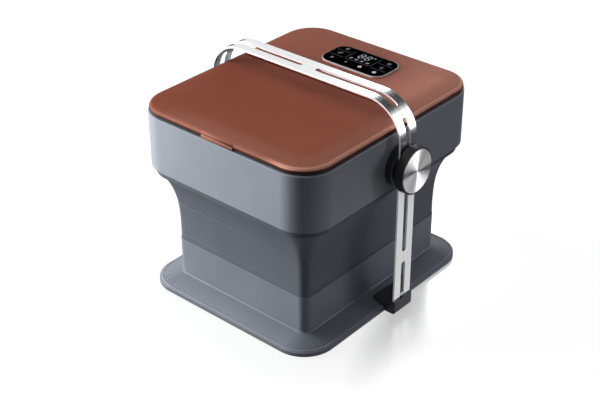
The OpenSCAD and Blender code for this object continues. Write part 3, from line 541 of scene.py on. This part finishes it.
# How far along its half width each row stands, and how far it sinks at the ends.
tab_ends = ((-1, 0.0010), (-0.996, 0.0003), (-0.985, 0), (0.985, 0), (0.996, 0.0003), (1, 0.0010))
mesh = bmesh.new()
rows = []
for share, sunk in tab_ends:
    points = [(share * tab_half, -corner.y - max(r - sunk, roll_in), z) for r, z in tab_rows]
    rows.append([mesh.verts.new(point) for point in points])
skin(mesh, rows)
cap(mesh, rows)
pull_tab = piece_of(mesh, "pull_tab", leather)
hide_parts("lid_tab")
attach(pull_tab, "lid")

# ---------------------------------------------------------------------------
# Seal, rails, shoes and frames under the top
# A soft rubber seal under the lid and dark mouldings under the top and the tub.
# They show only as a shadow line, apart from the power inlet at the rear.

dark_plastic = moulded("dark_plastic", (0.022, 0.023, 0.026), rough=0.5)
seal_rubber = moulded("seal_rubber", (0.012, 0.012, 0.013), rough=0.62, grain=0.08)
dress(dark_plastic, "deck_frame", "rim_rails", "lid_shoes", "bottom_cover", "lower_clamp_ring",
      "upper_clamp_ring", "suction_grille", "pump_housing", "power_inlet")
dress(seal_rubber, "lid_seal", "drain_seal", "drain_plug", "rubber_feet")

# ---------------------------------------------------------------------------
# Carrying frame
# Flat aluminium strip, bent to a U, slotted, and satin-brushed along its
# length. The stamped edges are deburred.


def brushed(name, colour, rough=0.19, scratch=0.10, cut_rough=0.0):
    """Metal brushed along its length, with fine scratches square to the width and blunter cut edges."""
    material, nodes = new_tree(name)
    place = nodes.add("ShaderNodeTexCoord", out="Object")
    cut = nodes.add("ShaderNodeTexCoord", out="Normal").vector("ABSOLUTE").axis(1).band(0.75, 0.95)
    along = place.vector("MULTIPLY", (6.0, 450.0, 6.0))
    lines = nodes.add("ShaderNodeTexNoise", None, {"Vector": along, "Scale": 1.0, "Detail": 2.0})
    bump = nodes.add("ShaderNodeBump", None, {"Height": lines, "Strength": scratch, "Distance": 0.0006})
    shade = lines.band(0.3, 0.7).blend(tuple(c * 0.93 for c in colour) + (1,), tuple(colour) + (1,))
    shader = nodes.add("ShaderNodeBsdfPrincipled", None, {
        "Base Color": shade, "Metallic": 1.0, "Roughness": (lines - 0.5) * 0.15 + rough + cut * cut_rough,
        "Normal": bump,
    })
    nodes.add("ShaderNodeOutputMaterial", None, {"Surface": shader})
    return material


frame_metal = brushed("frame_metal", (0.86, 0.86, 0.87), cut_rough=0.45)
dress(frame_metal, "handle_bar")
ease_edges(0.0004, "handle_bar")

# ---------------------------------------------------------------------------
# Bosses, feet of the frame and knobs
# Matt black glass-filled nylon. The knobs turn on steel studs and carry a
# spun aluminium disc let into a raised ring.

black_nylon = moulded("black_nylon", (0.026, 0.025, 0.029), rough=0.42, grain=0.06)
dress(black_nylon, "boss_left", "boss_right", "bracket_left", "bracket_right", "knob_left", "knob_right")
ease_edges(0.0018, "bracket_left", "bracket_right")
ease_edges(0.0010, "boss_left", "boss_right", "knob_left", "knob_right")

steel = brushed("plain_steel", (0.70, 0.71, 0.72), rough=0.25)
dress(steel, "bracket_screws", "boss_screws", "stud_left", "stud_right", "washer_left", "washer_right",
      "roller_axles", "lid_rod", "cover_screws", "deck_screws", "temperature_probe")

# Each cap is a dished disc faced on a lathe, so its light runs in wedges. It
# is turned about its own axis and then set on the knob.
spun, nodes = new_tree("spun_disc")
place = nodes.add("ShaderNodeTexCoord", out="Object")
lathe_lines = 1400.0
reach = place.vector("MULTIPLY", (1, 1, 0)).vector("LENGTH", out=1) * lathe_lines
cuts = nodes.add("ShaderNodeTexNoise", {"noise_dimensions": "1D"}, {"W": reach, "Scale": 1.0, "Detail": 3.0})
bump = nodes.add("ShaderNodeBump", None, {"Height": cuts, "Strength": 0.25, "Distance": 0.00005})
shader = nodes.add("ShaderNodeBsdfPrincipled", None, {
    "Base Color": cuts.band(0.3, 0.7).blend((0.84, 0.84, 0.85, 1), (0.93, 0.93, 0.94, 1)), "Metallic": 1.0,
    "Roughness": (cuts - 0.5) * 0.06 + 0.40, "Normal": bump, "Anisotropic": 1.0, "Anisotropic Rotation": 0.25,
})
nodes.add("ShaderNodeOutputMaterial", None, {"Surface": shader})

disc_gap, disc_lip, disc_dish, disc_under, dish_steps = 0.0005, 0.0007, 0.0006, 0.0001, 16


def turned(profile, around=96):
    """Revolves (radius, height) stations about the Z axis; the first station is the centre."""
    mesh = bmesh.new()
    hub = mesh.verts.new((0, 0, profile[0][1]))
    last = None
    for r, h in profile[1:]:
        turns = [2 * math.pi * k / around for k in range(around)]
        ring = [mesh.verts.new((r * math.cos(a), r * math.sin(a), h)) for a in turns]
        for k in range(around):
            n = (k + 1) % around
            mesh.faces.new((hub, ring[k], ring[n]) if last is None else (last[k], ring[k], ring[n], last[n]))
        last = ring
    mesh.faces.new(list(reversed(last)))
    return mesh


for side, out in (("left", -1), ("right", 1)):
    low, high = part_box("knob_cap_" + side)
    rim = (high[1] - low[1]) / 2 - disc_gap
    thick = high[0] - low[0] - disc_under
    shares = [k / dish_steps for k in range(dish_steps + 1)]
    profile = [((rim - disc_lip) * share, thick - disc_dish * (1 - share ** 2)) for share in shares]
    profile += [(rim - disc_lip * 0.3, thick - disc_lip * 0.3), (rim, thick - disc_lip), (rim, 0)]
    disc = piece_of(turned(profile), "knob_disc_" + side, spun)
    disc.location = (low[0] if out > 0 else high[0], (low[1] + high[1]) / 2, (low[2] + high[2]) / 2)
    disc.rotation_euler = (0, out * math.pi / 2, 0)
    bpy.context.view_layer.update()
    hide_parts("knob_cap_" + side)
    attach(disc, side + "_knob")

# ---------------------------------------------------------------------------
# Display
# A satin silver bezel around a black glass touch panel. Two digits, plain key
# signs and fine dividing lines are printed on the glass and glow white.

bezel_silver = moulded("bezel_silver", (0.80, 0.80, 0.81), rough=0.34, grain=0.02, speckle=0.02)
panel_black = moulded("panel_black", (0.002, 0.002, 0.003), rough=0.08, grain=0.0, level=0.0)
dress(bezel_silver, "panel_bezel")
ease_edges(0.0005, "panel_bezel")

bezel_low, bezel_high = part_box("panel_bezel")
panel_mid = (bezel_low + bezel_high) / 2
panel_round, glass_inset, glass_edge = 0.020, 0.0012, 0.0004
glass_proud, glass_sunk = 0.0006, 0.0012
glass_top, glass_foot = bezel_high[2] + glass_proud, bezel_high[2] - glass_sunk


def panel_outline(inset, z, steps=10):
    """Points of the panel's rounded outline at an inset from the bezel."""
    half = (bezel_high - bezel_low) / 2
    r, points = panel_round - inset, []
    for sx, sy, start in ((1, -1, -90), (1, 1, 0), (-1, 1, 90), (-1, -1, 180)):
        mid = (panel_mid[0] + sx * (half[0] - panel_round), panel_mid[1] + sy * (half[1] - panel_round))
        turns = [math.radians(start + 90 * k / steps) for k in range(steps + 1)]
        points += [(mid[0] + r * math.cos(a), mid[1] + r * math.sin(a), z) for a in turns]
    return points


mesh = bmesh.new()
glass_rings = [[mesh.verts.new(p) for p in panel_outline(inset, z)] for inset, z in (
    (glass_inset, glass_foot), (glass_inset, glass_top - glass_edge),
    (glass_inset + glass_edge * 0.3, glass_top - glass_edge * 0.3), (glass_inset + glass_edge, glass_top))]
skin(mesh, glass_rings)
cap(mesh, glass_rings)
touch_glass = piece_of(mesh, "touch_glass", panel_black, smooth=30)
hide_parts("panel_glass")
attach(touch_glass, "upper")


def lit_print(name, level):
    """Print that glows white, a little unevenly."""
    material, nodes = new_tree(name)
    place = nodes.add("ShaderNodeTexCoord", out="Object")
    uneven = nodes.add("ShaderNodeTexNoise", None, {"Vector": place, "Scale": 160.0, "Detail": 1.0})
    dimmer = (level * 0.8, level * 0.82, level * 0.88, 1)
    colour = uneven.band(0.3, 0.7).blend(dimmer, (level, level, level, 1))
    shader = nodes.add("ShaderNodeBsdfPrincipled", None, {
        "Base Color": (0.02, 0.02, 0.02, 1), "Roughness": 0.4, "Specular IOR Level": 0.0,
        "Emission Color": colour, "Emission Strength": 1.0,
    })
    nodes.add("ShaderNodeOutputMaterial", None, {"Surface": shader})
    return material


print_gap, print_t = 0.00001, 0.00006
print_low = glass_top + print_gap


def stroke(mesh, points, width, closed=False):
    """A flat printed line through points, given in millimetres from the middle of the panel."""
    count = len(points)
    left, right = [], []
    for k, point in enumerate(points):
        before = points[k - 1] if closed or k else points[k]
        after = points[(k + 1) % count] if closed or k < count - 1 else points[k]
        run = (Vector(after) - Vector(before)).normalized()
        side = Vector((-run.y, run.x)) * width / 2
        for row, sign in ((left, 1), (right, -1)):
            spot = (Vector(point) + sign * side) / 1000
            row.append([mesh.verts.new((panel_mid[0] + spot.x, panel_mid[1] + spot.y, z))
                        for z in (print_low, print_low + print_t)])
    rings = [[left[k][0], left[k][1], right[k][1], right[k][0]] for k in range(count)]
    skin(mesh, rings, closed)
    if not closed:
        cap(mesh, rings)


def arc(x, y, r, start=0, sweep=360, steps=20):
    """Points of an arc in millimetres, from an angle through a sweep."""
    turns = [math.radians(start + sweep * k / steps) for k in range(steps + (sweep < 360))]
    return [(x + r * math.cos(a), y + r * math.sin(a)) for a in turns]


def printed(name, level, strokes):
    """One piece of lit print made of strokes (points, width, closed)."""
    mesh = bmesh.new()
    for points, width, closed in strokes:
        stroke(mesh, points, width, closed)
    piece = piece_of(mesh, name, lit_print(name + "_print", level))
    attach(piece, "upper")


def digit(x, y, w=7.6, h=14.5, lean=0.10, gap=1.3, width=1.35):
    """The seven bars of a lit digit."""
    bars = []
    for x0, y0, x1, y1 in ((-1, 1, 1, 1), (-1, 0, 1, 0), (-1, -1, 1, -1), (-1, 0, -1, 1), (1, 0, 1, 1),
                           (-1, -1, -1, 0), (1, -1, 1, 0)):
        one, two = Vector((x0 * w / 2, y0 * h / 2)), Vector((x1 * w / 2, y1 * h / 2))
        trim = (two - one).normalized() * gap
        ends = [end + Vector((end.y * lean, 0)) + Vector((x, y)) for end in (one + trim, two - trim)]
        bars.append((ends, width, False))
    return bars


# All places on the panel are in millimetres from its middle.
key_x, right_x = -43.3, 43.3
key_rows, right_rows = (22.4, 3.3, -17.6), (19.8, 0.6)
foot_row, bar_x, drop_x = -18.0, -14.6, 13.2
window_left, window_right, window_top, window_foot, window_round = -26.0, 24.5, 24.0, -7.6, 4
rules = [(x, x + run, y) for x, run, ys in ((-29, -28, (12.8, -7.2)), (28, 28, (11.5, -9.0))) for y in ys]
printed("display_digits", 0.55, digit(-7.4, 14.6) + digit(5.4, 14.6))
printed("window_line", 0.085, [
    ([(window_left, window_top - 3), (window_left, window_foot + window_round)], 0.8, False),
    (arc(window_left + window_round, window_foot + window_round, window_round, 180, 90, 6), 0.8, False),
    ([(window_left + window_round, window_foot), (window_right - window_round, window_foot)], 0.8, False),
    (arc(window_right - window_round, window_foot + window_round, window_round, 270, 90, 6), 0.8, False),
    ([(window_right, window_foot + window_round), (window_right, window_top)], 0.8, False),
] + [([(x0, y), (x1, y)], 0.7, False) for x0, x1, y in rules])
wave = [[(key_x + dx + 0.6 * math.sin(1.3 * t), key_rows[0] - 3 + t) for t in range(7)] for dx in (-2, 0, 2)]
printed("key_signs", 0.34, [(points, 0.8, False) for points in wave] + [
    (arc(key_x - 1.2, key_rows[1] - 0.8, 2.1), 0.8, True),
    (arc(key_x + 1.8, key_rows[1] + 2.2, 1.3), 0.8, True),
    (arc(key_x, key_rows[2] + 1, 1.4), 0.8, True),
    ([(key_x - 3, key_rows[2] - 2.2), (key_x + 3, key_rows[2] - 2.2)], 0.9, False),
    (arc(right_x, right_rows[0], 2.8), 0.8, True),
    ([(right_x, right_rows[0] + 1.8), (right_x, right_rows[0]),
      (right_x + 1.4, right_rows[0] - 1)], 0.7, False),
    (arc(right_x, right_rows[1], 2.8, 60, 270), 0.8, False),
    ([(bar_x, foot_row - 2.8), (bar_x, foot_row + 2.8)], 1.6, False),
])
signs = []
for x in (-17.8, -6.9, 4.0, 15.0):
    signs += [(arc(x, -0.6, 1.9), 0.9, True), ([(x - 3.0, -2.4), (x + 3.0, 1.2)], 0.9, False)]
printed("mode_signs", 0.36, signs + [(arc(15.0, 20.6, 1.4), 1.0, True)])
printed("power_signs", 0.62, [
    (arc(drop_x, foot_row, 2.2), 2.0, True), ([(drop_x, foot_row + 1), (drop_x, foot_row + 3.8)], 1.4, False),
    (arc(right_x, foot_row - 1.6, 2.2), 2.4, True),
    ([(right_x, foot_row), (right_x, foot_row + 2.6)], 1.6, False),
])

# ---------------------------------------------------------------------------
# Inner parts
# The lid's lining, the inner wall and the foot plates are pale moulded plastic, and the
# rollers turn on steel axles. The pump, heater and main board sit under the tub, and
# the display's own board under the rear deck.

inner_grey = moulded("inner_grey", (0.42, 0.45, 0.50), rough=0.5)
roller_plastic = moulded("roller_plastic", (0.66, 0.68, 0.71), rough=0.35)
board_green = moulded("board_green", (0.03, 0.16, 0.07), rough=0.35)
light_plastic = moulded("light_plastic", (0.62, 0.61, 0.57), rough=0.4)
cast_metal = brushed("cast_metal", (0.52, 0.53, 0.54), rough=0.45)
dress(inner_grey, "upper_liner", "lid_liner", "foot_plate_left", "foot_plate_right")
dress(roller_plastic, "roller_front_left", "roller_front_right", "roller_rear_left", "roller_rear_right")
dress(board_green, "main_board", "display_board")
dress(light_plastic, "pump_impeller", "pump_hose")
dress(cast_metal, "pump_motor", "heater_block")

low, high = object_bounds()
